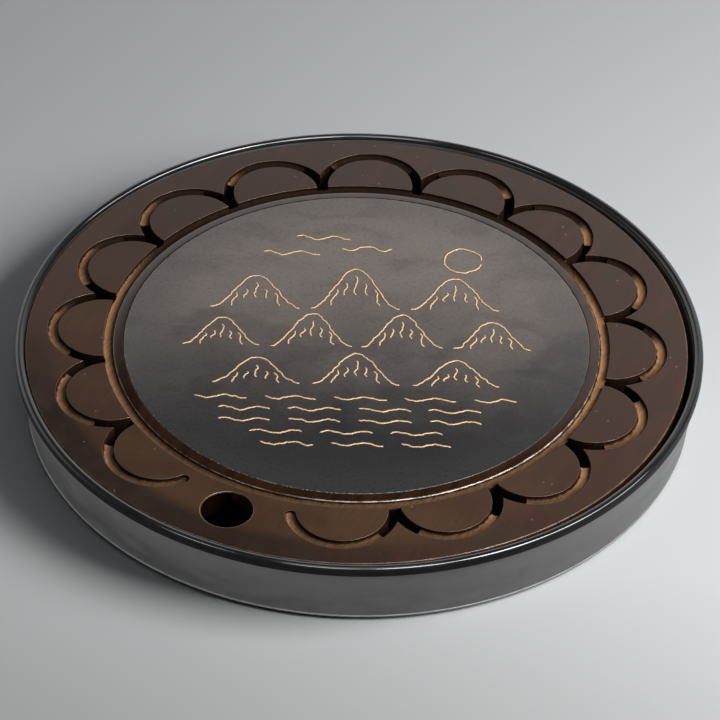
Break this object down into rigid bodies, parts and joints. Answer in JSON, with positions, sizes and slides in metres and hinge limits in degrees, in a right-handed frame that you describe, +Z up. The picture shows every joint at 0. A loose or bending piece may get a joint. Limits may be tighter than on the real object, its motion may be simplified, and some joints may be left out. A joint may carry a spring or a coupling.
{
  "type": "round tea tray",
  "caption": "Round tea tray: a water basin with a rolled rim, a lift-out wooden drain plate with petal grooves and a finger hole, and an inset slate disc with gold line art.",
  "frame": {"origin": "centre of the surface that the feet stand on, on the basin's axis", "axes": "+Z up along the basin's axis, +Y towards the top of the picture on the slate, +X to its right"},
  "size_m": [0.32, 0.32, 0.0348],
  "materials": {
    "basin_plastic": "gloss rim, satin wall",
    "foot_rubber": "matt",
    "pad_silicone": "matt, translucent white",
    "plate_wood": "dark stained and lacquered, raw light wood in the grooves",
    "bed_adhesive": "matt",
    "slate": "honed, satin",
    "gold_paint": "matt gold paint"
  },
  "bodies": {
    "base": {"basin": "basin_plastic", "feet": "foot_rubber", "seat_pads": "pad_silicone"},
    "plate": {"drain_plate": "plate_wood", "slate_bed": "bed_adhesive", "slate_disc": "slate", "gold_lines": "gold_paint"}
  },
  "joints": [
    {"name": "plate_lift", "type": "slide", "parent": "base", "child": "plate", "axis": [0, 0, 1], "range_m": [0, 0.06]}
  ]
}
